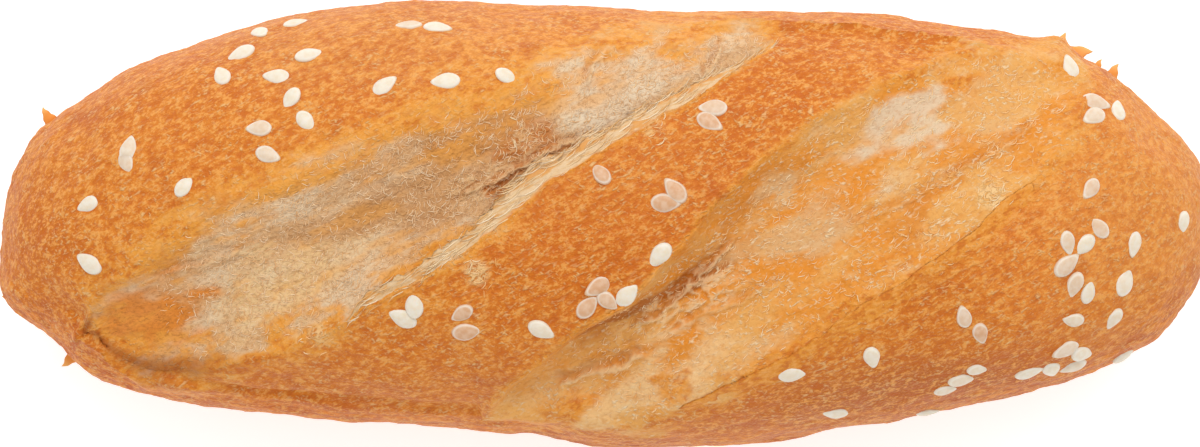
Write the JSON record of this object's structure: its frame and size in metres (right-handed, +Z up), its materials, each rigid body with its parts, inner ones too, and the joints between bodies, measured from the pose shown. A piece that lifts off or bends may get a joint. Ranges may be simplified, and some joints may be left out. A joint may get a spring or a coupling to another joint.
{
  "type": "mini baguette",
  "caption": "Short baked wheat roll with rounded ends, slanting torn cuts across its crown, a flat base and sesame seeds baked onto the crust.",
  "frame": {"origin": "on the ground under the middle of the loaf", "axes": "+X along the loaf to its more thickly seeded end, +Y to the loaf's back, +Z up"},
  "size_m": [0.1508, 0.0553, 0.0406],
  "materials": {
    "crust": "golden-brown baked crust with paler torn cuts, a slight sheen on the high parts"
  },
  "bodies": {
    "root": {"loaf": "crust"}
  },
  "joints": []
}
